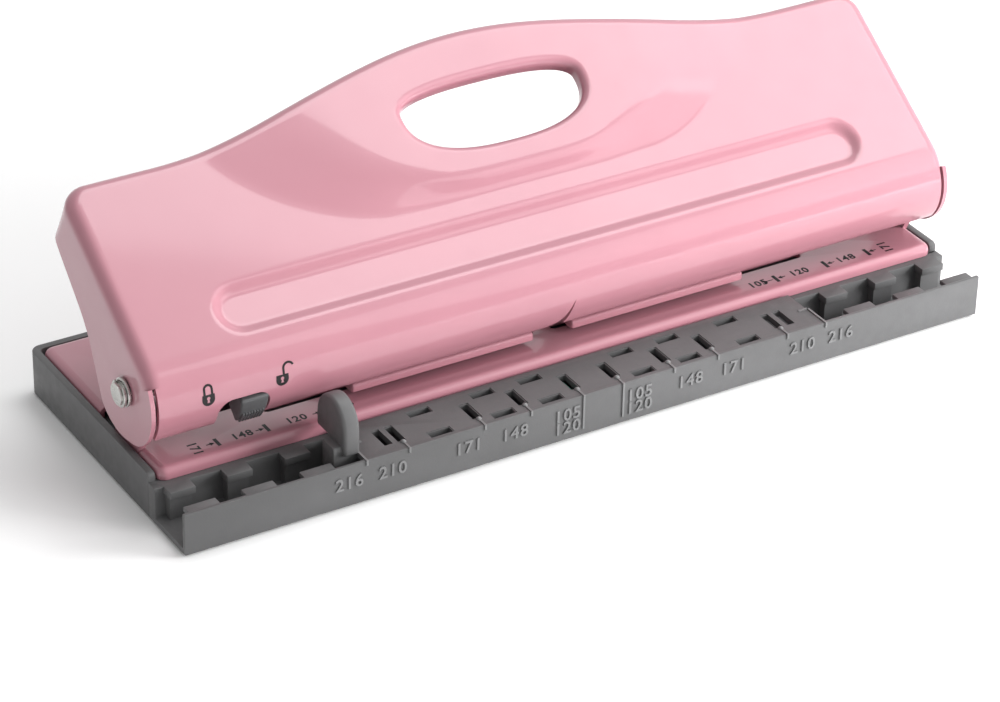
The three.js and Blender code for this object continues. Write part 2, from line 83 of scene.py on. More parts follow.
soft_light("front_right_box", (0.62, -0.60, 0.60), (0, 0, 0.03), (0.7, 0.6), 2.0)
soft_light("overhead_box", (0.595, 0.06, 1.10), (0.595, 0.06, 0), (1.0, 0.6), 6.4)
bpy.data.objects["overhead_box"].rotation_euler = (0, 0, math.radians(-18.4))
soft_light("right_fill", (0.44, -0.34, 0.16), (0.06, -0.03, 0.005), (0.26, 0.2), 4.4)
bpy.data.objects["right_fill"].visible_glossy = False

room = bpy.data.worlds.new("white_room")
room.use_nodes = True
bpy.context.scene.world = room
room_nodes, room_links = room.node_tree.nodes, room.node_tree.links
sky = room_nodes["Background"]
sky.inputs["Color"].default_value = (1, 1, 1, 1)
direction = room_nodes.new("ShaderNodeTexCoord")
across = room_nodes.new("ShaderNodeVectorMath")
across.operation = "DOT_PRODUCT"
across.inputs[1].default_value = (0.72, 0.18, 0.32)
wall_shade = room_nodes.new("ShaderNodeMapRange")
wall_shade.inputs["From Min"].default_value = -0.6
wall_shade.inputs["From Max"].default_value = 0.75
wall_shade.inputs["To Min"].default_value = 0.40
wall_shade.inputs["To Max"].default_value = 0.84
room_links.new(direction.outputs["Generated"], across.inputs[0])
room_links.new(across.outputs["Value"], wall_shade.inputs["Value"])
room_links.new(wall_shade.outputs["Result"], sky.inputs["Strength"])

bpy.ops.object.select_all(action="DESELECT")
bpy.ops.mesh.primitive_plane_add(size=6)
floor = bpy.context.object
floor.name = "studio_floor"
floor_paint = bpy.data.materials.new("pale_floor")
floor_paint.use_nodes = True
floor_shader = floor_paint.node_tree.nodes["Principled BSDF"]
floor_shader.inputs["Base Color"].default_value = (0.97, 0.97, 0.97, 1)
floor_shader.inputs["Roughness"].default_value = 0.7
floor_shader.inputs["Specular IOR Level"].default_value = 0.2
floor.data.materials.append(floor_paint)

# --------------------------------------
# Tray. One grey moulding: a shallow chip box under the deck, a ledge that the deck rests
# on, and a channel along the front with a bridge over its middle. It has a fine satin grain.


def select_only(piece):
    bpy.ops.object.select_all(action="DESELECT")
    piece.select_set(True)
    bpy.context.view_layer.objects.active = piece


def settled(name):
    """Moves a new piece's place, turn and scale into its mesh, and names it."""
    bpy.ops.object.transform_apply(location=True, rotation=True, scale=True)
    bpy.context.object.name = name
    return bpy.context.object


def corners_of(node):
    """The low and the high corner of a node's box, in millimetres."""
    return [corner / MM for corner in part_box(node)]


def block(name, x, y, z):
    """A cube from one span to the other along each axis, in millimetres."""
    spans = (x, y, z)
    bpy.ops.object.select_all(action="DESELECT")
    bpy.ops.mesh.primitive_cube_add(size=1, location=[MM * (low + high) / 2 for low, high in spans],
                                    scale=[MM * (high - low) for low, high in spans])
    return settled(name)


def cylinder(name, radius, depth, place, vertices=40, turn=(0, 0, 0)):
    """A cylinder about its middle, along Z unless it is turned, in millimetres."""
    bpy.ops.object.select_all(action="DESELECT")
    bpy.ops.mesh.primitive_cylinder_add(vertices=vertices, radius=radius * MM, depth=depth * MM,
                                        location=[MM * part for part in place], rotation=turn)
    return settled(name)


def close_outwards():
    """Turns every face of the piece being edited outwards, and leaves edit mode."""
    bpy.ops.mesh.select_all(action="SELECT")
    bpy.ops.mesh.normals_make_consistent(inside=False)
    bpy.ops.object.mode_set(mode="OBJECT")


def combine(piece, other, how):
    """Joins another piece on (UNION) or cuts it out (DIFFERENCE), and uses it up."""
    modifier = piece.modifiers.new("combine", "BOOLEAN")
    modifier.operation, modifier.solver, modifier.object = how, "EXACT", other
    select_only(piece)
    bpy.ops.object.modifier_apply(modifier=modifier.name)
    bpy.data.objects.remove(other)


def join(pieces, name):
    bpy.ops.object.select_all(action="DESELECT")
    for piece in pieces:
        piece.select_set(True)
    bpy.context.view_layer.objects.active = pieces[0]
    if len(pieces) > 1:
        bpy.ops.object.join()
    pieces[0].name = name
    return pieces[0]


def prism(name, outline, span, axis):
    """A filled circle whose corners go to the outline, extruded along an axis (millimetres)."""
    turns = {"X": (2, 0, 1), "Y": (0, 2, 1), "Z": (0, 1, 2)}[axis]

    def placed(*parts):
        return Vector([parts[turn] for turn in turns]) * MM

    bpy.ops.object.select_all(action="DESELECT")
    bpy.ops.mesh.primitive_circle_add(vertices=len(outline), fill_type="NGON")
    piece = settled(name)
    for corner, (a, b) in zip(piece.data.vertices, outline):
        corner.co = placed(a, b, span[0])
    bpy.ops.object.mode_set(mode="EDIT")
    bpy.ops.mesh.select_all(action="SELECT")
    bpy.ops.mesh.extrude_region_move(TRANSFORM_OT_translate={"value": placed(0, 0, span[1] - span[0])})
    close_outwards()
    return piece


def bevel_edges(piece, wanted, width, segments):
    """Rounds the edges whose two ends, in millimetres, pass the wanted test."""
    select_only(piece)
    bpy.ops.object.mode_set(mode="EDIT")
    bpy.ops.mesh.select_mode(type="EDGE")
    bpy.ops.mesh.select_all(action="DESELECT")
    bpy.ops.object.mode_set(mode="OBJECT")
    corners = piece.data.vertices
    for edge in piece.data.edges:
        ends = [corners[i].co / MM for i in edge.vertices]
        edge.select = wanted(*ends)
    bpy.ops.object.mode_set(mode="EDIT")
    bpy.ops.mesh.bevel(offset=width * MM, segments=segments, affect="EDGES")
    bpy.ops.object.mode_set(mode="OBJECT")


def soften(piece, width, segments=2, angle=30):
    """Breaks every sharp edge with a small round, as moulding and deburring do."""
    select_only(piece)
    modifier = piece.modifiers.new("soft_edges", "BEVEL")
    modifier.width, modifier.segments = width * MM, segments
    modifier.limit_method, modifier.angle_limit = "ANGLE", math.radians(angle)
    modifier.use_clamp_overlap = True
    modifier.miter_outer = "MITER_ARC"
    bpy.ops.object.modifier_apply(modifier=modifier.name)
    bpy.ops.object.shade_smooth_by_angle(angle=math.radians(35))


def fit(piece, body, slot, material, *nodes):
    """Gives a finished piece its material and its body, and hides the nodes it stands for; the slot is not
    used.
    """
    piece.data.materials.clear()
    piece.data.materials.append(material)
    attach(piece, body)
    if nodes:
        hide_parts(*nodes)


def node_of(material, kind, **settings):
    """Adds a shader node; each setting is one of its inputs or one of its properties."""
    node = material.node_tree.nodes.new(kind)
    for key, value in settings.items():
        name = key.replace("_", " ").title()
        if name in node.inputs:
            node.inputs[name].default_value = value
        else:
            setattr(node, key, value)
    return node


def new_finish(name, color, roughness, metallic=0.0):
    material = bpy.data.materials.new(name)
    material.use_nodes = True
    shader = material.node_tree.nodes["Principled BSDF"]
    shader.inputs["Base Color"].default_value = (*color, 1)
    shader.inputs["Roughness"].default_value = roughness
    shader.inputs["Metallic"].default_value = metallic
    return material, shader


def placed_noise(material, scale, detail, stretch=(1, 1, 1)):
    """Noise on object coordinates, so that it stays with the piece; scale is per metre."""
    links = material.node_tree.links
    coordinates = node_of(material, "ShaderNodeTexCoord")
    mapping = node_of(material, "ShaderNodeMapping")
    mapping.inputs["Scale"].default_value = stretch
    noise = node_of(material, "ShaderNodeTexNoise", scale=scale, detail=detail)
    links.new(coordinates.outputs["Object"], mapping.inputs["Vector"])
    links.new(mapping.outputs["Vector"], noise.inputs["Vector"])
    return noise.outputs["Fac"]


def vary_color(material, shader, noise, dark, light):
    ramp = node_of(material, "ShaderNodeValToRGB")
    ramp.color_ramp.elements[0].position, ramp.color_ramp.elements[0].color = 0.3, (*dark, 1)
    ramp.color_ramp.elements[1].position, ramp.color_ramp.elements[1].color = 0.7, (*light, 1)
    material.node_tree.links.new(noise, ramp.inputs["Fac"])
    material.node_tree.links.new(ramp.outputs["Color"], shader.inputs["Base Color"])


def vary_roughness(material, shader, noise, low, high):
    spread = node_of(material, "ShaderNodeMapRange", from_min=0.3, from_max=0.7, to_min=low, to_max=high)
    material.node_tree.links.new(noise, spread.inputs["Value"])
    material.node_tree.links.new(spread.outputs["Result"], shader.inputs["Roughness"])


def add_bump(material, shader, noise, strength, depth):
    bump = node_of(material, "ShaderNodeBump", strength=strength, distance=depth)
    material.node_tree.links.new(noise, bump.inputs["Height"])
    material.node_tree.links.new(bump.outputs["Normal"], shader.inputs["Normal"])


def moulded_plastic(name, dark, light, roughness, grain):
    """Satin moulding: fine spark-eroded grain, faint flow marks and uneven sheen."""
    material, shader = new_finish(name, light, roughness)
    vary_color(material, shader, placed_noise(material, 70, 3, (0.5, 1, 1)), dark, light)
    vary_roughness(material, shader, placed_noise(material, 420, 2), roughness - 0.06, roughness + 0.08)
    add_bump(material, shader, placed_noise(material, grain, 2), 0.35, 0.00006)
    return material


grey_plastic = moulded_plastic("grey_moulding", (0.100, 0.100, 0.101), (0.120, 0.120, 0.122), 0.46, 3000)

tray_low, tray_high = corners_of("base_tray")
MARK_PROUD = 0.3                     # raised numerals and lines stand this far off the tray
WALL_FRONT = tray_low.y + MARK_PROUD
WALL_BACK = tray_low.y + 1.3
LEDGE_FRONT = -24.4
FULL = (tray_low.x, tray_high.x)
FLOOR_TOP = 2.0
LEDGE_TOP = 9.4
BRIDGE_TOP = 10.7
BRIDGE_HALF = 60
SLIT_MIDDLE = -31.8
SIZE_PLACES = {5.2: ("105", "120"), 18.8: ("148",), 30.6: ("171",), 49.6: ("210",)}
SLITS = (5.2, 18.8, 30.6, 49.6, 52.9)

tray = block("tray_shell", FULL, (-21.5, tray_high.y), (tray_low.z, tray_high.z))
bevel_edges(tray, lambda a, b: a.y > 30 and b.y > 30 and a.x * b.x > 0 and abs(a.z - b.z) > 5, 2.6, 6)
bevel_edges(tray, lambda a, b: min(a.z, b.z) > 11 and max(a.y, b.y) < -21, 1.2, 4)
hollow = block("hollow", (-102.3, 102.3), (-30, 37.0), (FLOOR_TOP, 20))
bevel_edges(hollow, lambda a, b: a.y > 30 and b.y > 30 and abs(a.z - b.z) > 5, 1.4, 5)
combine(tray, hollow, "DIFFERENCE")
soften(tray, 0.25)

channel = prism("channel", [(WALL_FRONT, tray_low.z), (-21.4, tray_low.z), (-21.4, LEDGE_TOP),
                            (LEDGE_FRONT, LEDGE_TOP), (LEDGE_FRONT, FLOOR_TOP), (WALL_BACK, FLOOR_TOP),
                            (WALL_BACK, BRIDGE_TOP), (WALL_FRONT, BRIDGE_TOP)], FULL, "X")
soften(channel, 0.25)
walls = [channel]
bridge = block("bridge", (-BRIDGE_HALF, BRIDGE_HALF), (WALL_BACK - 0.65, -23.6), (9.2, BRIDGE_TOP))
bevel_edges(bridge, lambda a, b: min(a.z, b.z) > 10 and (min(a.y, b.y) > -24 or a.x == b.x), 0.25, 2)
walls.append(bridge)
walls.append(block("rear_ledge", (-103, 103), (34.8, 38), (1, 7.7)))
walls.append(block("divider", (-0.8, 0.8), (-22, 37.5), (1, 6.5)))
for side in (-1, 1):
    walls.append(block("side_ledge", sorted((side * 100, side * 103.5)), (-22, 35), (1, LEDGE_TOP)))
    for place in (71.2, 85.2, 98.9):
        x = side * place
        tabs = [block("front_tab", (x - 3.8, x + 3.8), (WALL_BACK - 0.6, WALL_BACK + 2.4), (9.4, 10.6)),
                block("back_tab", (x - 3.1, x + 3.1), (LEDGE_FRONT - 3.2, LEDGE_FRONT + 1.2),
                      (7.6, LEDGE_TOP))]
        for tab in tabs:
            soften(tab, 0.2)
        walls += tabs
        walls.append(block("pilaster", (x - 2.6, x + 2.6), (LEDGE_FRONT - 2.2, LEDGE_FRONT + 0.5), (1, 8)))
for wall in walls:
    combine(tray, wall, "UNION")

cutters = []
for side in (-1, 1):
    for place in SLITS:
        x = side * place
        rim = 1.0 if place > 45 else 1.3         # the two slits of a close pair share their rim
        cutters.append(block("slit", (x - 1, x + 1), (SLIT_MIDDLE - 3.0, SLIT_MIDDLE + 3.0), (8, 12)))
        cutters.append(block("slit_rim", (x - rim, x + rim), (SLIT_MIDDLE - 3.3, SLIT_MIDDLE + 3.3),
                             (BRIDGE_TOP - 0.18, 12)))
    for place in (12.1, 24.4, 40.4):
        x = side * place - 0.2
        for low, high in ((-27.6, -25.7), (-37.0, -35.1)):
            cutters.append(block("port", (x - 2.7, x + 2.7), (low, high), (8, 12)))
            cutters.append(block("port_rim", (x - 2.95, x + 2.95), (low - 0.25, high + 0.25),
                                 (BRIDGE_TOP - 0.15, 12)))
    for end in (-1, 1):
        cutters.append(cylinder("foot_pocket", 4.8, 2, (side * 90, end * 31.6, 0.3)))
for cutter in cutters:
    combine(tray, cutter, "DIFFERENCE")
tray.name = "grey_tray"
select_only(tray)
bpy.ops.object.shade_smooth_by_angle(angle=math.radians(35))
fit(tray, "tray", "grey_plastic", grey_plastic, "base_tray")


def numeral(text, size, place, turn, proud, align, weight):
    """A number as a thin closed solid, in millimetres; align says which end is at the place."""
    bpy.ops.object.select_all(action="DESELECT")
    bpy.ops.object.text_add(location=[MM * part for part in place], rotation=turn)
    letters = bpy.context.object
    letters.data.body, letters.data.size = text, size * MM
    letters.data.align_x, letters.data.align_y = align, "CENTER"
    letters.data.extrude = proud * MM
    letters.data.offset = weight * MM
    letters.data.resolution_u = 3
    letters.data.space_character = 1.12
    bpy.ops.object.convert(target="MESH")
    return settled("numeral")


# Raised page sizes on the front wall, and a dot and a line from each slit down to its number.
MARK_TOP = BRIDGE_TOP + 0.22
LINE_HALF = 0.24


def wall_numeral(text, x, z):
    """A page size on the front wall that starts at x and runs outwards."""
    marks.append(numeral(text, 4.3, (x, WALL_FRONT - 0.02, z), (math.radians(90), 0, 0), 0.28,
                         "RIGHT" if x < 0 else "LEFT", 0.06))


marks = []
for side in (-1, 1):
    for place, sizes in SIZE_PLACES.items():
        two_rows = len(sizes) > 1
        for row, size in enumerate(sizes):
            wall_numeral(size, side * (place + 0.8), 7.0 - 3.3 * row if two_rows else 6.4)
        x = side * place
        marks.append(block("line", (x - LINE_HALF, x + LINE_HALF), (tray_low.y, -35.4),
                           (2.2 if two_rows else 9.6, MARK_TOP)))
        bpy.ops.object.select_all(action="DESELECT")
        bpy.ops.mesh.primitive_uv_sphere_add(segments=16, ring_count=8, radius=0.7 * MM,
                                             location=(x * MM, -35.6 * MM, (BRIDGE_TOP - 0.1) * MM))
        marks.append(settled("dot"))
    x = side * (BRIDGE_HALF + 0.2)
    wall_numeral("216", x + side * 0.9, 6.4)
    marks.append(block("end_line", (x - LINE_HALF, x + LINE_HALF), (tray_low.y, -31.0), (9.6, MARK_TOP)))
    marks.append(block("end_step", sorted((x + side * LINE_HALF, x - side * 2.6)), (-31.4, -30.9),
                       (BRIDGE_TOP - 0.2, MARK_TOP)))
size_marks = join(marks, "raised_page_sizes")
soften(size_marks, 0.08, 1)
# The raised marks are a lighter grey than the tray: a painted highlight for the light that their raised
# edges catch.
marks_painted_highlight = moulded_plastic("grey_raised_marks_painted_highlight", (0.165, 0.165, 0.167), (0.20, 0.20, 0.203),
                                 0.40, 3000)
fit(size_marks, "tray", "grey_plastic", marks_painted_highlight)

# --------------------------------------
# Feet. Four black rubber buttons glued in pockets under the tray, with a chamfered rim.
rubber, rubber_shader = new_finish("black_rubber_pad", (0.02, 0.02, 0.021), 0.85)
vary_roughness(rubber, rubber_shader, placed_noise(rubber, 800, 2), 0.75, 0.95)
add_bump(rubber, rubber_shader, placed_noise(rubber, 2200, 3), 0.6, 0.0001)

for end in ("front", "rear"):
    for side in ("left", "right"):
        low, high = corners_of(f"foot_{end}_{side}")
        foot = cylinder(f"rubber_foot_{end}_{side}", (high.x - low.x) / 2, high.z - low.z,
                        (low + high) / 2, 48)
        soften(foot, 0.3, 3)
        fit(foot, "tray", "black_rubber", rubber, f"foot_{end}_{side}")

# --------------------------------------
# Page stop. A grey moulded fin that the page's edge rests against, on a tongue that slides
# in the channel and carries a green pointer to the slits.


def arc(centre, radius, start, end, steps):
    """Points on an arc, from one angle to another in degrees; a pair of radii makes an ellipse."""
    across, along = radius if isinstance(radius, tuple) else (radius, radius)
    angles = [math.radians(start + (end - start) * i / steps) for i in range(steps + 1)]
    return [(centre[0] + across * math.cos(a), centre[1] + along * math.sin(a)) for a in angles]


fin_low, fin_high = corners_of("guide_fin")
FIN_THICK = (fin_high.x - 4.0, fin_high.x)
fin_middle = (fin_low.y + fin_high.y) / 2
fin_half = (fin_high.y - fin_low.y) / 2
fin = prism("page_stop_fin", [(fin_low.y, 11.0), (-29.6, 11.0), (-29.2, 12.9), (fin_high.y, 12.9)]
            + arc((fin_middle, 16.5), (fin_half, fin_high.z - 16.5), 0, 180, 28), FIN_THICK, "X")
soften(fin, 0.9, 4, 50)
stem = block("stem", (fin_low.x, fin_high.x), (-34.6, -29.4), (fin_low.z, 13.4))
soften(stem, 0.35, 2)
fin = join([fin, stem], "page_stop_fin")
fit(fin, "paper_guide", "grey_plastic", grey_plastic, "guide_fin")

tongue = block("page_stop_tongue", *zip(*corners_of("guide_tongue")))
for x in range(-58, -10, 8):
    groove = block("groove", (x, x + 4), (-34.4, -30.0), (4.5, 6))
    combine(tongue, groove, "DIFFERENCE")
soften(tongue, 0.4, 3)
fit(tongue, "paper_guide", "grey_plastic", grey_plastic, "guide_tongue")

green_plastic = moulded_plastic("green_moulding", (0.012, 0.17, 0.10), (0.02, 0.23, 0.14), 0.4, 3000)
pointer = block("green_pointer", *zip(*corners_of("guide_pointer")))
soften(pointer, 0.3, 3)
fit(pointer, "paper_guide", "green_plastic", green_plastic, "guide_pointer")

# --------------------------------------
# Deck. One pressed steel sheet with its edges rolled down, windows for the dies, slots for
# the carriers and two upright ears for the axle. It is painted with glossy pink enamel.
pink_paint, pink_shader = new_finish("pink_enamel", (0.455, 0.196, 0.240), 0.34)
vary_color(pink_paint, pink_shader, placed_noise(pink_paint, 28, 2),
           (0.44, 0.188, 0.232), (0.465, 0.202, 0.246))
vary_roughness(pink_paint, pink_shader, placed_noise(pink_paint, 160, 3), 0.30, 0.38)
add_bump(pink_paint, pink_shader, placed_noise(pink_paint, 850, 1), 0.06, 0.00004)
pink_shader.inputs["Coat Weight"].default_value = 0.85
pink_shader.inputs["Coat Roughness"].default_value = 0.07

deck_low, deck_high = corners_of("deck_frame")
DECK_TOP = 12.3
PIVOT = (-11.8, 27.0)
ROD_HOLE = 2.8


def rod(name, radius, x, y, z, vertices=48):
    """A cylinder along X, from one place to another."""
    return cylinder(name, radius, x[1] - x[0], ((x[0] + x[1]) / 2, y, z), vertices, (0, math.radians(90), 0))


def delete_faces(piece, wanted):
    select_only(piece)
    bpy.ops.object.mode_set(mode="EDIT")
    bpy.ops.mesh.select_mode(type="FACE")
    bpy.ops.mesh.select_all(action="DESELECT")
    bpy.ops.object.mode_set(mode="OBJECT")
    for face in piece.data.polygons:
        face.select = wanted(face.center / MM, face.normal)
    bpy.ops.object.mode_set(mode="EDIT")
    bpy.ops.mesh.delete(type="FACE")
    bpy.ops.object.mode_set(mode="OBJECT")


def thicken(piece, wall):
    """Gives an open skin its sheet thickness, inwards."""
    modifier = piece.modifiers.new("sheet", "SOLIDIFY")
    modifier.thickness, modifier.offset = wall * MM, -1
    modifier.use_even_offset = True
    select_only(piece)
    bpy.ops.object.modifier_apply(modifier=modifier.name)


deck = block("pink_deck", (deck_low.x, deck_high.x), (deck_low.y, deck_high.y), (9.5, DECK_TOP))
bevel_edges(deck, lambda a, b: abs(a.z - b.z) > 1, 2.2, 6)
bevel_edges(deck, lambda a, b: min(a.z, b.z) > DECK_TOP - 0.01, 1.85, 6)
delete_faces(deck, lambda middle, normal: normal.z < -0.9)
thicken(deck, 1.2)
for side in (-1, 1):
    ear = [(PIVOT[0] - 0.6, 11.2), (PIVOT[0] + 10.6, 11.2), (PIVOT[0] + 9.0, 17.0)]
    ear += arc(PIVOT, 6.0, 12, 172, 16) + [(PIVOT[0] - 4.6, 20.0)]
    combine(deck, prism("ear", ear, sorted((side * 100.5, side * 102)), "X"), "UNION")
    combine(deck, rod("axle_hole", ROD_HOLE, sorted((side * 99, side * 103)), *PIVOT), "DIFFERENCE")
    combine(deck, block("relief", sorted((side * 100.4, side * 103)), (-1, 6.5), (9, 13)), "DIFFERENCE")
    combine(deck, block("window", sorted((side * 3, side * 80)), (-7.6, 7.1), (9, 13)), "DIFFERENCE")
    low, high = sorted((side * 3.5, side * 70.2))
    slot_outline = arc((high, -11.5), 1.3, -90, 90, 8) + arc((low, -11.5), 1.3, 90, 270, 8)
    combine(deck, prism("rib_slot", slot_outline, (9, 13), "Z"), "DIFFERENCE")
soften(deck, 0.15, 2, 40)
fit(deck, "frame", "pink_paint", pink_paint, "deck_frame")

# Printed marks on the deck: a bar for each head setting, a fine arrow and the page size.
black_ink, ink_shader = new_finish("black_print", (0.006, 0.005, 0.006), 0.5)
vary_roughness(black_ink, ink_shader, placed_noise(black_ink, 900, 2), 0.35, 0.5)
add_bump(black_ink, ink_shader, placed_noise(black_ink, 1600, 1), 0.1, 0.00003)
PRINT_Y = -18.4
PRINT = (DECK_TOP - 0.05, DECK_TOP + 0.03)
print_marks = []
for side in (-1, 1):
    for bar in (60, 74, 86):
        x = side * bar
        print_marks.append(block("bar", (x - 0.42, x + 0.42), (PRINT_Y - 1.5, PRINT_Y + 1.5), PRINT))
        for near, far in [(0.9, 2.6)] if bar > 60 else [(0.9, 2.6), (-2.6, -0.9)]:
            tip, tail = x + side * near, x + side * far
            print_marks.append(block("arrow", sorted((tip, tail)), (PRINT_Y - 0.13, PRINT_Y + 0.13), PRINT))
            wing = tip + math.copysign(0.8, near * side)
            head = [(tip - math.copysign(0.3, near * side), PRINT_Y), (wing, PRINT_Y + 0.6),
                    (wing, PRINT_Y - 0.6)]
            print_marks.append(prism("arrow_head", head, PRINT, "Z"))
    for place, size, turn in ((55.0, "105", 0), (66.6, "120", 0), (79.9, "148", 0), (91.4, "171", 90)):
        print_marks.append(numeral(size, 3.1, (side * place, PRINT_Y, DECK_TOP - 0.01),
                                   (0, 0, math.radians(turn * side)), 0.04, "CENTER", 0.08))
deck_print = join(print_marks, "deck_print")
fit(deck_print, "frame", "pink_paint", black_ink)

# --------------------------------------
# Axle. A zinc-plated steel rod through both ears and the handle's cheeks, held by a washer
# and a spring clip at each end; the bracket inside the left ear catches the lock.
steel, steel_shader = new_finish("zinc_steel", (0.60, 0.60, 0.58), 0.3, 1.0)
vary_color(steel, steel_shader, placed_noise(steel, 300, 4), (0.50, 0.50, 0.47), (0.66, 0.66, 0.64))
vary_roughness(steel, steel_shader, placed_noise(steel, 1500, 3, (0.08, 1, 1)), 0.22, 0.40)
add_bump(steel, steel_shader, placed_noise(steel, 2600, 2, (0.1, 1, 1)), 0.12, 0.00003)


def refined(node, name, round_by=0.15):
    """A merged copy of a CAD node with its edges broken, for plates that are right as they are."""
    piece = bpy.data.objects.new(name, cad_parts[node].data.copy())
    bpy.context.scene.collection.objects.link(piece)
    select_only(piece)
    bpy.ops.object.mode_set(mode="EDIT")
    bpy.ops.mesh.select_all(action="SELECT")
    bpy.ops.mesh.remove_doubles(threshold=1e-6)
    bpy.ops.mesh.dissolve_limited(angle_limit=math.radians(0.5))
    bpy.ops.object.mode_set(mode="OBJECT")
    soften(piece, round_by)
    return piece


axle_low, axle_high = corners_of("axle")
axle = rod("axle_rod", 2.5, (axle_low.x, axle_high.x), *PIVOT)
for end in (-1, 1):
    groove = rod("clip_groove", 3.2, sorted((end * 105.25, end * 105.95)), *PIVOT)
    combine(groove, rod("core", 2.15, sorted((end * 105, end * 106.2)), *PIVOT), "DIFFERENCE")
    combine(axle, groove, "DIFFERENCE")
soften(axle, 0.25, 3)
fit(axle, "frame", "bright_steel", steel, "axle")

for side in ("left", "right"):
    low, high = corners_of(f"axle_washer_{side}")
    washer = rod(f"washer_{side}", 3.35, (low.x, high.x), *PIVOT, 64)
    combine(washer, rod("bore", 2.7, (low.x - 1, high.x + 1), *PIVOT), "DIFFERENCE")
    soften(washer, 0.18, 3)
    fit(washer, "frame", "bright_steel", steel, f"axle_washer_{side}")
    low, high = corners_of(f"axle_clip_{side}")
    outline = arc(PIVOT, 3.15, -230, 50, 40) + arc(PIVOT, 2.25, 50, -230, 40)
    clip = prism(f"spring_clip_{side}", outline, (low.x, high.x), "X")
    soften(clip, 0.12, 2)
    fit(clip, "frame", "bright_steel", steel, f"axle_clip_{side}")
fit(refined("lock_catch", "lock_catch_bracket"), "frame", "bright_steel", steel, "lock_catch")

# --------------------------------------
# Heads. Each is a pink folded cover over a steel pin guide, a steel die plate and a plastic
# carrier under the deck; two screws close it, and three pins with coil springs stand in it.
dark_plastic = moulded_plastic("dark_moulding", (0.085, 0.085, 0.088), (0.105, 0.105, 0.109), 0.42, 2600)


def coil_spring(name, x, y, low, high, radius, wire, turns):
    """A wire circle swept along a helix by a Screw modifier, with its two ends closed."""
    bpy.ops.object.select_all(action="DESELECT")
    bpy.ops.mesh.primitive_circle_add(vertices=8, radius=wire * MM, location=(radius * MM, 0, 0),
                                      rotation=(math.radians(90), 0, 0))
    piece = settled(name)
    screw = piece.modifiers.new("turns", "SCREW")
    screw.axis, screw.angle, screw.iterations = "Z", math.radians(360), turns
    screw.screw_offset = (high - low - 2 * wire) / turns * MM
    screw.steps = screw.render_steps = 22
    bpy.ops.object.modifier_apply(modifier=screw.name)
    bpy.ops.object.mode_set(mode="EDIT")
    bpy.ops.mesh.select_all(action="DESELECT")
    bpy.ops.mesh.select_mode(type="VERT")
    bpy.ops.mesh.select_non_manifold()
    bpy.ops.mesh.fill_holes(sides=8)
    close_outwards()
    piece.location = (x * MM, y * MM, (low + wire) * MM)
    settled(name)
    bpy.ops.object.shade_smooth_by_angle(angle=math.radians(50))
    return piece


def turned(name, profile, x, y):
    """A turned piece: half its outline (radius, height) spun about a vertical line."""
    bpy.ops.object.select_all(action="DESELECT")
    bpy.ops.mesh.primitive_circle_add(vertices=len(profile), fill_type="NOTHING")
    piece = settled(name)
    for corner, (radius, z) in zip(piece.data.vertices, profile):
        corner.co = Vector((radius, 0, z)) * MM
    bpy.ops.object.mode_set(mode="EDIT")
    bpy.ops.mesh.select_all(action="SELECT")
    bpy.ops.mesh.spin(steps=40, angle=math.radians(360), center=(0, 0, 0), axis=(0, 0, 1))
    bpy.ops.mesh.select_all(action="SELECT")
    bpy.ops.mesh.remove_doubles(threshold=1e-6)
    bpy.ops.mesh.delete_loose()
    close_outwards()
    piece.location = (x * MM, y * MM, 0)
    settled(name)
    bpy.ops.object.shade_smooth_by_angle(angle=math.radians(35))
    return piece


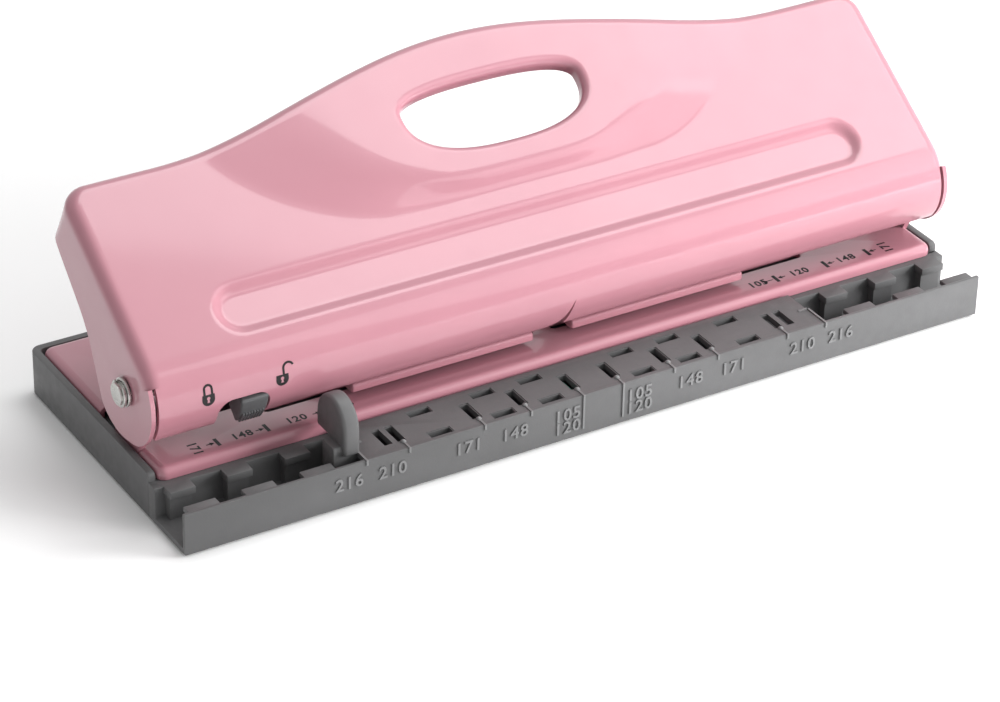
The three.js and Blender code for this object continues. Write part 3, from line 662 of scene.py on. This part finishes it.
COVER_STEP = -8.5                    # where the cover's low front lip meets its raised part
COVER_LIP, MOUTH = 15.5, 13.6        # heights of the lip and of the paper mouth under it
for side in ("left", "right"):
    low, high = corners_of(f"head_cover_{side}")
    span, middle, top = (low.x, high.x), (low.x + high.x) / 2, high.z
    lip, mouth = COVER_LIP, MOUTH
    folds = [(low.y, mouth), (low.y, lip), (COVER_STEP, lip), (COVER_STEP, top), (high.y, top),
             (high.y, mouth)]
    cover = prism(f"head_cover_pink_{side}", folds, span, "X")
    bevel_edges(cover, lambda a, b: max(a.z, b.z) > mouth + 0.1, 0.65, 4)
    cavity = prism("cavity", [(low.y + 1, mouth - 1), (low.y + 1, lip - 1), (COVER_STEP + 1, lip - 1),
                              (COVER_STEP + 1, top - 1), (high.y - 1, top - 1), (high.y - 1, mouth - 1)],
                   (span[0] + 0.4, span[1] - 0.4), "X")
    combine(cover, cavity, "DIFFERENCE")
    back_wall = block("back_wall", (span[0] + 0.6, span[1] - 0.6), (high.y - 1, high.y), (low.z, 14.5))
    combine(cover, back_wall, "UNION")
    for offset in (-19, 0, 19):
        combine(cover, cylinder("pin_hole", 2.4, 4, (middle + offset, -2, top)), "DIFFERENCE")
    soften(cover, 0.12, 2, 50)
    fit(cover, f"head_{side}", "pink_paint", pink_paint, f"head_cover_{side}")
    for node in ("pin_guide", "die_plate", "detent_leaf"):
        plate = refined(f"{node}_{side}", f"{node}_steel_{side}")
        fit(plate, f"head_{side}", "bright_steel", steel, f"{node}_{side}")
    fit(refined(f"die_carrier_{side}", f"die_carrier_moulded_{side}", 0.25), f"head_{side}", "dark_plastic",
        dark_plastic, f"die_carrier_{side}")

    for index in (1, 2):
        low, high = corners_of(f"cover_screw_{side}_{index}")
        centre = ((low.x + high.x) / 2, (low.z + high.z) / 2)
        head_y = high.y - 0.9
        screw = prism(f"screw_{side}_{index}", arc(centre, 1.7, 0, 345, 23), (head_y, high.y), "Y")
        soften(screw, 0.3, 3)
        for half_x, half_z in ((1.05, 0.17), (0.17, 1.05)):
            cross = block("cross", (centre[0] - half_x, centre[0] + half_x),
                          (high.y - 0.45, high.y + 1), (centre[1] - half_z, centre[1] + half_z))
            combine(screw, cross, "DIFFERENCE")
        shank = prism("shank", arc(centre, 0.6, 0, 330, 11), (low.y, head_y + 0.2), "Y")
        screw = join([screw, shank], f"screw_{side}_{index}")
        fit(screw, f"head_{side}", "bright_steel", steel, f"cover_screw_{side}_{index}")

    for index in (1, 2, 3):
        low, high = corners_of(f"punch_pin_{side}_{index}")
        x, y = (low.x + high.x) / 2, (low.y + high.y) / 2
        tip, top = low.z, high.z
        profile = [(0, tip + 0.5), (2.2, tip + 0.25), (2.8, tip), (3.0, tip + 0.25), (3.0, 16.3),
                   (2.85, 16.55), (2.0, 16.9), (2.0, top - 1.2), (3.45, top - 1.2), (3.6, top - 1.05),
                   (3.6, top - 0.45), (3.35, top - 0.15), (2.9, top), (0, top)]
        pin = turned(f"pin_{side}_{index}", profile, x, y)
        fit(pin, f"pins_{side}", "bright_steel", steel, f"punch_pin_{side}_{index}")
        low, high = corners_of(f"pin_spring_{side}_{index}")
        spring = coil_spring(f"coil_spring_{side}_{index}", x, y, low.z, high.z, 2.85, 0.32, 5)
        fit(spring, f"head_{side}", "bright_steel", steel, f"pin_spring_{side}_{index}")
        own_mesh(spring)

# --------------------------------------
# Handle. One steel pressing painted pink: a flat panel that leans back, rolled over at the
# front into a barrel round the axle and turned down at the rear and at both cheeks. A long
# rib is sunk in the panel, and the panel swells round a finger hole with a rolled edge.
TILT = math.radians(33.73)
PANEL_ORIGIN = (-19.8, 32.7)
FACE = 3.0                           # the panel's outer face off the drawing plane
CHEEK = 104.0                        # outer face of the cheeks
ROLL = 2.8                           # bend radius along the sides and the rear
BARREL = (3.49, -9.18)               # the pivot in the panel's own plane
BARREL_RADIUS = 12.18                # outer radius of the rolled front
LIP = 187                            # where the barrel's sheet ends, in degrees from the panel
SLIT = 118                           # from here to the lip the barrel stands free of the cheeks
END_UP, HUMP_RISE, HUMP_HALF = 48.1, 13.35, 82        # the rear edge: height, bulge, half width
CORNER = 6.0                         # radius of the panel's rear corners
SWELL_RISE = 2.2                     # the swelling round the hole stands this far off the panel
RIB_DEPTH, RIB_WALL = 1.35, 3.0
RIB_HALF, RIB_LOW, RIB_HIGH = 84.5, 3.45, 16.6        # half length, lower edge and upper edge
OFF_MIDDLE = 0.9                     # the rib and the swelling sit this far right of the middle
RIM_LOW, CHEEK_LOW = -9.0, -10.6     # how far the rear rim and the cheeks reach down
GRID_CHANGE = 18                     # rows below this height run straight, those above follow the hump


def from_panel(points):
    """Points (x, up the panel, off the panel) in millimetres to places in metres."""
    x, along, off = np.asarray(points, float).T
    y = PANEL_ORIGIN[0] + along * math.cos(TILT) - off * math.sin(TILT)
    z = PANEL_ORIGIN[1] + along * math.sin(TILT) + off * math.cos(TILT)
    return np.stack([x, y, z], 1) * MM


def smooth(t):
    t = np.clip(t, 0, 1)
    return t * t * (3 - 2 * t)


def rear_edge(x):
    hump = 0.5 + 0.5 * np.cos(np.pi * np.clip(x / HUMP_HALF, -1, 1))
    return END_UP + HUMP_RISE * hump


def swell_line(corner_x, corner_up, reach_x, reach_up, power):
    """The right half of a rounded outline, open to the rear, as a close row of points."""
    angle = np.linspace(0, np.pi / 2, 60)
    side = [(corner_x + reach_x, up) for up in np.linspace(corner_up + 16, corner_up, 12)[:-1]]
    round_corner = np.stack([corner_x + reach_x * np.cos(angle) ** (2 / power),
                             corner_up - reach_up * np.sin(angle) ** (2 / power)], 1)
    front = [(x, corner_up - reach_up) for x in np.linspace(corner_x, 0, 20)[1:]]
    return np.concatenate([side, round_corner, front])


SWELL_FOOT = (34, 52, 40, 30.5, 1.6)
SWELL_CREST = (10, 54, 28.8, 28.2, 2)


def depth_inside(x, along, swell):
    """Distance to a swell line, positive on the inside."""
    corner_x, corner_up, reach_x, reach_up, power = swell
    line = swell_line(*swell)
    points = np.stack([np.abs(x), along], -1)[..., None, :]
    start, step = line[:-1], np.diff(line, axis=0)
    share = ((points - start) * step).sum(-1) / np.maximum((step * step).sum(-1), 1e-12)
    nearest = start + step * np.clip(share, 0, 1)[..., None]
    gaps = np.sqrt(((points - nearest) ** 2).sum(-1)).min(-1)
    out_x = np.clip(np.abs(x) - corner_x, 0, None) / reach_x
    out_up = np.clip(corner_up - along, 0, None) / reach_up
    return np.where(out_x ** power + out_up ** power < 1, gaps, -gaps)


def height_at(x, along):
    """How far the outer skin stands off the drawing plane."""
    x = x - OFF_MIDDLE
    past_foot = np.clip(depth_inside(x, along, SWELL_FOOT), 0, None)
    to_crest = np.clip(-depth_inside(x, along, SWELL_CREST), 0, None)
    share = past_foot / np.maximum(past_foot + to_crest, 1e-6)
    foot_round, crest_round = 0.10, 0.45
    eased = np.where(share < foot_round, share ** 2 / (2 * foot_round), share - foot_round / 2)
    past = np.clip(share - (1 - crest_round), 0, None)
    eased = (eased - past ** 2 / (2 * crest_round)) / (1 - foot_round / 2 - crest_round / 2)
    rib_radius = (RIB_HIGH - RIB_LOW) / 2
    rib_middle = (RIB_HIGH + RIB_LOW) / 2
    from_axis = np.hypot(np.clip(np.abs(x) - (RIB_HALF - rib_radius), 0, None), along - rib_middle)
    tilt = 1 + 0.16 * (along - rib_middle) / rib_radius
    sunk = smooth((rib_radius - from_axis) / RIB_WALL) * RIB_DEPTH * tilt
    return FACE + SWELL_RISE * eased - sunk


# The skin's grid: columns along the length, rows from the lip over the barrel to the rear.
corner_cells = 5
flat_half, inner_end = CHEEK - ROLL, END_UP - ROLL
inner_corner = CORNER - ROLL


def spaced(marks):
    """Places between neighbouring marks, given as (place, cells up to the next one)."""
    places = [marks[0][0]]
    for (start, cells), (end, _) in zip(marks, marks[1:]):
        places += list(np.linspace(start, end, cells + 1)[1:])
    return np.array(places)


half_columns = spaced([(0, 48), (31, 40), (78, 18), (88, 8), (CHEEK - CORNER, corner_cells), (flat_half, 0)])
columns = np.concatenate([-half_columns[::-1], half_columns[1:]])
up_rows = spaced([(BARREL[0], 27), (GRID_CHANGE, 40), (END_UP - CORNER, corner_cells), (inner_end, 0)])
barrel_angles = np.concatenate([np.linspace(LIP, SLIT, 26), np.linspace(SLIT, 90, 12)[1:]])
barrel_rows = len(barrel_angles) - 1
count_x, count_up = len(columns), barrel_rows + len(up_rows)

grid = np.zeros((count_x, count_up, 3))
normal_grid = np.zeros((count_x, count_up, 3))
for i, x in enumerate(columns):
    angle = np.radians(barrel_angles[:-1])
    grid[i, :barrel_rows] = np.stack([np.full(barrel_rows, x), BARREL[0] + BARREL_RADIUS * np.cos(angle),
                                      BARREL[1] + BARREL_RADIUS * np.sin(angle)], 1)
    normal_grid[i, :barrel_rows, 1] = np.cos(angle)
    normal_grid[i, :barrel_rows, 2] = np.sin(angle)
    reach = rear_edge(x)
    slope = (rear_edge(x + 0.1) - rear_edge(x - 0.1)) / 0.2
    top = reach - ROLL * math.sqrt(1 + slope * slope)
    stretch = (top - GRID_CHANGE) / (inner_end - GRID_CHANGE)
    along = np.where(up_rows <= GRID_CHANGE, up_rows, GRID_CHANGE + (up_rows - GRID_CHANGE) * stretch)
    grid[i, barrel_rows:, 0] = x
    grid[i, barrel_rows:, 1] = along
    normal_grid[i, barrel_rows:, 2] = 1
for side in (-1, 1):
    for a in range(1, corner_cells + 1):
        for b in range(1, corner_cells + 1):
            radius = max(a, b) / corner_cells * inner_corner
            turn = (b / a) * math.pi / 4 if a >= b else math.pi / 2 - (a / b) * math.pi / 4
            i = (count_x - 1 - corner_cells + a) if side > 0 else (corner_cells - a)
            grid[i, count_up - 1 - corner_cells + b, :2] = (
                side * (CHEEK - CORNER + radius * math.cos(turn)), END_UP - CORNER + radius * math.sin(turn))
panel = grid[:, barrel_rows:]
panel[..., 2] = height_at(panel[..., 0], panel[..., 1])

skin_points, skin_faces = [grid.reshape(-1, 3)], []


def add_points(points):
    """Keeps a row of new points and gives their numbers."""
    first = sum(len(row) for row in skin_points)
    skin_points.append(np.asarray(points, float))
    return list(range(first, first + len(points)))


def add_faces(outer, inner, closed=False):
    """Faces between two rows of point numbers."""
    steps = len(outer) if closed else len(outer) - 1
    for k in range(steps):
        n = (k + 1) % len(outer)
        skin_faces.append((outer[k], outer[n], inner[n], inner[k]))


def extend(row, points, closed=False):
    """Adds a row of points, joined by faces to the row before it, and gives its numbers."""
    new_row = add_points(points)
    add_faces(row, new_row, closed)
    return new_row


number = np.arange(count_x * count_up).reshape(count_x, count_up)
hole_i = [int(np.argmin(np.abs(columns - x))) for x in (-28.5, 28.5)]
middle_rows = grid[count_x // 2, barrel_rows:, 1]
hole_j = [barrel_rows + int(np.argmin(np.abs(middle_rows - along))) for along in (26.8, 54.6)]
for i in range(count_x - 1):
    for j in range(count_up - 1):
        if hole_i[0] <= i < hole_i[1] and hole_j[0] <= j < hole_j[1]:
            continue
        skin_faces.append((number[i, j], number[i + 1, j], number[i + 1, j + 1], number[i, j + 1]))

# Round the finger hole the rows run as rings, then roll in over its edge and down inside.
ring = [number[i, hole_j[0]] for i in range(hole_i[0], hole_i[1])]
ring += [number[hole_i[1], j] for j in range(hole_j[0], hole_j[1])]
ring += [number[i, hole_j[1]] for i in range(hole_i[1], hole_i[0], -1)]
ring += [number[hole_i[0], j] for j in range(hole_j[1], hole_j[0], -1)]
outer_ring = grid.reshape(-1, 3)[ring]
HOLE_MIDDLE, HOLE_HALF = 43.0, 23.0
HOLE_UPPER, HOLE_LOWER = (5.5, 2.6), (11.3, 2.5)      # height and squareness of each half
CURL = 1.9
above = outer_ring[:, 1] > HOLE_MIDDLE
edge_far = np.where(above, outer_ring[:, 1].max() - HOLE_MIDDLE, HOLE_MIDDLE - outer_ring[:, 1].min())
turn = np.arctan2((outer_ring[:, 1] - HOLE_MIDDLE) / edge_far, outer_ring[:, 0] / outer_ring[:, 0].max())
tall = np.where(above, HOLE_UPPER[0], HOLE_LOWER[0])
square = np.where(above, HOLE_UPPER[1], HOLE_LOWER[1])
size = (np.abs(np.cos(turn)) ** square + np.abs(np.sin(turn)) ** square) ** (1 / square)
hole_edge = np.stack([OFF_MIDDLE + HOLE_HALF * np.cos(turn) / size,
                      HOLE_MIDDLE + tall * np.sin(turn) / size], 1)
tangent = np.roll(hole_edge, -1, 0) - np.roll(hole_edge, 1, 0)
outward = np.stack([tangent[:, 1], -tangent[:, 0]], 1)
outward /= np.linalg.norm(outward, axis=1)[:, None]
curl_start = hole_edge + outward * CURL
row = ring
for share in np.arange(1, 12) / 11:
    flat = outer_ring[:, :2] * (1 - share) + curl_start * share
    row = extend(row, np.column_stack([flat, height_at(flat[:, 0], flat[:, 1])]), True)
edge_height = height_at(curl_start[:, 0], curl_start[:, 1])
quarter_turn = [math.pi / 2 * k / 6 for k in range(1, 7)]
for angle in quarter_turn:
    flat = curl_start - outward * CURL * math.sin(angle)
    row = extend(row, np.column_stack([flat, edge_height - CURL * (1 - math.cos(angle))]), True)
for drop in (0.7, 1.6):
    row = extend(row, np.column_stack([hole_edge, edge_height - CURL - drop]), True)

# The sides and the rear roll over in one band that goes up the left, along the rear and
# down the right; the rear part then runs on down as the rim.
slit_row = 25
edge_numbers = [number[0, j] for j in range(slit_row, count_up)]
edge_numbers += [number[i, count_up - 1] for i in range(1, count_x)]
edge_numbers += [number[count_x - 1, j] for j in range(count_up - 2, slit_row - 1, -1)]
base = grid.reshape(-1, 3)[edge_numbers]
off_normal = normal_grid.reshape(-1, 3)[edge_numbers]
plan = np.zeros_like(base)
for k, (x, along, _) in enumerate(base):
    if along <= END_UP - CORNER and abs(x) > flat_half - 0.01:
        plan[k] = (math.copysign(1, x), 0, 0)
    elif abs(x) >= CHEEK - CORNER - 0.01:
        away = np.array([x - math.copysign(CHEEK - CORNER, x), along - (END_UP - CORNER), 0])
        plan[k] = away / np.linalg.norm(away)
    else:
        slope = (rear_edge(x + 0.1) - rear_edge(x - 0.1)) / 0.2
        plan[k] = np.array([-slope, 1, 0]) / math.hypot(slope, 1)
row = edge_numbers
for angle in quarter_turn:
    row = extend(row, base + plan * ROLL * math.sin(angle) - off_normal * ROLL * (1 - math.cos(angle)))
bottom = base + plan * ROLL - off_normal * ROLL
side_count = count_up - corner_cells - slit_row
rear_part = slice(side_count - 1, len(base) - side_count + 1)
row = row[rear_part]
rear_bottom, rear_plan = bottom[rear_part], plan[rear_part]
lean = np.clip(rear_plan[:, 1], 0, 1)
rim_low = CHEEK_LOW + (RIM_LOW - CHEEK_LOW) * lean
RIM_DRAFT = 0.30
rim_end = []
for share in np.arange(1, 8) / 7:
    off = rear_bottom[:, 2] + (rim_low - rear_bottom[:, 2]) * share
    tuck = (rear_bottom[:, 2] - off) * RIM_DRAFT * lean ** 2
    points = np.column_stack([rear_bottom[:, :2] - rear_plan[:, :2] * tuck[:, None], off])
    rim_end.append(points[0, 1:])
    row = extend(row, points)

# Each free barrel end runs a little past the bend, up to the slit beside the cheek.
for i, x in ((0, -102.2), (count_x - 1, 102.2)):
    strip = grid[i, :slit_row + 1].copy()
    strip[:, 0] = x
    outer = add_points(strip)
    inner = list(number[i, :slit_row + 1])
    if x > 0:
        add_faces(inner[::-1], outer[::-1])
    else:
        add_faces(inner, outer)


def rounded_path(points, rounds):
    """Cuts the corners of an open path, so that it runs smoothly."""
    path = np.array(points, float)
    for _ in range(rounds):
        cut = [path[0]]
        for a, b in zip(path, path[1:]):
            cut += [a * 0.75 + b * 0.25, a * 0.25 + b * 0.75]
        path = np.array([*cut, path[-1]])
    return path


def inside_path(points, path):
    """Which points lie inside a closed path."""
    found = np.zeros(len(points), bool)
    for (ax, ay), (bx, by) in zip(path, np.roll(path, -1, 0)):
        crosses = (ay > points[:, 1]) != (by > points[:, 1])
        where = (bx - ax) * (points[:, 1] - ay) / (by - ay + 1e-12) + ax
        found ^= crosses & (points[:, 0] < where)
    return found


# A cheek is flat, so its outline is filled with even triangles round the axle's hole.
top_path = bottom[:side_count, 1:]
front_path = np.array(arc(BARREL, BARREL_RADIUS, 232, SLIT, 64))
lower_path = rounded_path([(END_UP - CORNER, CHEEK_LOW), (38.6, -11.4), (34.4, -12.2), (22.8, -14.5),
                           (15.2, -19.3), (9.5, -23.0), (7.0, -23.8), (2.9, -23.4), (-1.6, -21.2),
                           front_path[0]], 2)
cheek_path = np.concatenate([top_path, rim_end, lower_path[1:], front_path[1:]])
axle_hole = np.array(arc(BARREL, ROD_HOLE, 0, 352.5, 47))
spread_x, spread_y = np.meshgrid(np.arange(-10, 44, 1.5), np.arange(-25, 3, 1.5))
spread = np.stack([spread_x.ravel(), spread_y.ravel()], 1)
edge_gap = np.sqrt(((spread[:, None] - np.concatenate([cheek_path, axle_hole])) ** 2).sum(-1)).min(1)
spread = spread[(edge_gap > 0.8) & inside_path(spread, cheek_path) & ~inside_path(spread, axle_hole)]
flat_points = np.concatenate([cheek_path, axle_hole, spread])
rim_count, hole_count = len(cheek_path), len(axle_hole)
edges = [(k, (k + 1) % rim_count) for k in range(rim_count)]
edges += [(rim_count + k, rim_count + (k + 1) % hole_count) for k in range(hole_count)]
filled, _, triangles, _, _, _ = delaunay_2d_cdt([Vector(p) for p in flat_points], edges, [], 0, 1e-7)
filled = np.array([tuple(p) for p in filled])
middles = np.array([filled[list(t)].mean(0) for t in triangles])
kept = inside_path(middles, cheek_path) & ~inside_path(middles, axle_hole)
for x in (-CHEEK, CHEEK):
    numbers = add_points(np.column_stack([np.full(len(filled), x), filled]))
    for triangle, keep in zip(triangles, kept):
        if keep:
            a, b, c = (numbers[v] for v in triangle)
            skin_faces.append((a, b, c) if x > 0 else (c, b, a))

bpy.ops.object.select_all(action="DESELECT")
bpy.ops.mesh.primitive_grid_add(x_subdivisions=2, y_subdivisions=2, size=MM)
handle = bpy.context.object
handle.name = "pink_handle"
handle.data.clear_geometry()
handle.data.from_pydata(from_panel(np.concatenate(skin_points)).tolist(), [],
                        [tuple(int(v) for v in face) for face in skin_faces])
bpy.ops.object.mode_set(mode="EDIT")
bpy.ops.mesh.select_all(action="SELECT")
bpy.ops.mesh.remove_doubles(threshold=2e-6)
bpy.ops.mesh.delete_loose()
bpy.ops.object.mode_set(mode="OBJECT")
thicken(handle, 1.0)

# Two cuts run up from the lip: the knob's notch, with rounded upper corners, and a short
# curved slit at the middle. Each is drawn flat and wrapped round the barrel.
NOTCH, NOTCH_TOP, NOTCH_ROUND = (-88.0, -75.4), 186.5, 3.4
notch_height = BARREL_RADIUS * math.radians(245 - NOTCH_TOP)
notch_outline = [(NOTCH[0], -notch_height), (NOTCH[1], -notch_height)]
notch_outline += arc((NOTCH[1] - NOTCH_ROUND, -NOTCH_ROUND), NOTCH_ROUND, 0, 90, 8)
notch_outline += arc((NOTCH[0] + NOTCH_ROUND, -NOTCH_ROUND), NOTCH_ROUND, 90, 180, 8)


def wrapped(piece, centre_angle):
    """Wraps a flat piece (x, up, off) round the barrel; up 0 lies at the given angle."""
    for vertex in piece.data.vertices:
        x, along, off = vertex.co / MM
        angle = math.radians(centre_angle) - along / BARREL_RADIUS
        radius = BARREL_RADIUS + off
        vertex.co = Vector((x, PIVOT[0] + radius * math.cos(angle),
                            PIVOT[1] + radius * math.sin(angle))) * MM
    select_only(piece)
    bpy.ops.object.mode_set(mode="EDIT")
    close_outwards()


def slice_across(piece, places):
    """Cuts a flat piece at these heights, so that it can bend."""
    select_only(piece)
    bpy.ops.object.mode_set(mode="EDIT")
    for place in places:
        bpy.ops.mesh.select_all(action="SELECT")
        bpy.ops.mesh.bisect(plane_co=(0, place * MM, 0), plane_no=(0, 1, 0))
    bpy.ops.object.mode_set(mode="OBJECT")


notch = prism("notch", notch_outline, (-3, 3), "Z")
slice_across(notch, np.arange(-12, 0, 0.8))
wrapped(notch, NOTCH_TOP)
combine(handle, notch, "DIFFERENCE")
bend_slit = prism("bend_slit", [(-4.6, -1.5), (-0.3, -1.5), (-0.1, 1.0), (0.35, 3.5), (0.8, 5.5),
                                (1.4, 8.0), (0.8, 6.8), (0.15, 5.3), (-0.5, 3.8), (-1.2, 2.5),
                                (-2.3, 1.2), (-4.6, 0.1)], (-2, 2), "Z")
slice_across(bend_slit, np.arange(-1, 8, 1.0))
wrapped(bend_slit, LIP + math.degrees(TILT))
combine(handle, bend_slit, "DIFFERENCE")
select_only(handle)
bpy.ops.object.shade_smooth_by_angle(angle=math.radians(40))
fit(handle, "handle", "pink_paint", pink_paint, "handle_shell")


def padlock(name, x, angle, is_open):
    """A padlock printed on the barrel: a body with a keyhole, and a closed or a swung shackle."""
    body = [(-1.45, 0.0), (1.45, 0.0)] + arc((0, -1.15), (1.5, 1.55), 10, -190, 22)[1:-1]
    lock = prism(name, body[::-1], (-0.12, 0.05), "Z")
    keyhole = arc((0, -0.9), 0.42, -60, 240, 14) + [(-0.34, -1.95), (0.34, -1.95)]
    combine(lock, prism("keyhole", keyhole, (-1, 1), "Z"), "DIFFERENCE")
    middle, reach, end = ((1.55, 1.3), 1.45, 20) if is_open else ((0, 1.3), 1.15, 0)
    outer = arc(middle, reach, 180, end, 14)
    inner = arc(middle, reach - 0.5, end, 180, 14)
    right_foot = [] if is_open else [(outer[-1][0], -0.1), (inner[0][0], -0.1)]
    outline = [(outer[0][0], -0.1)] + outer + right_foot + inner + [(inner[-1][0], -0.1)]
    shackle = prism("shackle", outline[::-1], (-0.12, 0.05), "Z")
    lock = join([lock, shackle], name)
    slice_across(lock, np.arange(-2.6, 2.8, 0.4))
    wrapped(lock, angle)
    for vertex in lock.data.vertices:
        vertex.co.x += x * MM
    return lock


for lock in (padlock("closed_padlock", -90.5, 172.5, False), padlock("open_padlock", -72.8, 173.5, True)):
    fit(lock, "handle", "pink_paint", black_ink)

# Under the panel a steel rod, hung between the cheeks, pushes all six pins at once.
low, high = corners_of("press_rod")
push_rod = rod("push_rod", 3.0, (low.x, high.x), (low.y + high.y) / 2, (low.z + high.z) / 2)
soften(push_rod, 0.4, 3)
fit(push_rod, "handle", "bright_steel", steel, "press_rod")
for side in ("left", "right"):
    hanger = refined(f"rod_hanger_{side}", f"rod_hanger_plate_{side}", 0.2)
    fit(hanger, "handle", "bright_steel", steel, f"rod_hanger_{side}")

# --------------------------------------
# Lock. A dark moulded knob, ribbed where the finger pushes it, on a steel blade that slides
# behind the bracket of the left ear.
low, high = corners_of("lock_knob")
knob_spans = (low.x, high.x)
knob_outline = arc(PIVOT, 12.85, 190, 225, 14) + arc(PIVOT, 8.5, 225, 190, 8)
knob = prism("ribbed_knob", knob_outline, knob_spans, "X")
soften(knob, 1.1, 4, 50)
ribs = []
for x in np.linspace(knob_spans[0] + 1.0, knob_spans[1] - 1.0, 8):
    outline = arc(PIVOT, 13.3, 208, 224.5, 10) + arc(PIVOT, 12.0, 224.5, 208, 4)
    rib = prism("rib", outline, (x - 0.3, x + 0.3), "X")
    soften(rib, 0.22, 2)
    ribs.append(rib)
knob = join([knob, *ribs], "ribbed_knob")
fit(knob, "lock_slider", "dark_plastic", dark_plastic, "lock_knob")
fit(refined("lock_blade", "lock_blade_steel"), "lock_slider", "bright_steel", steel, "lock_blade")
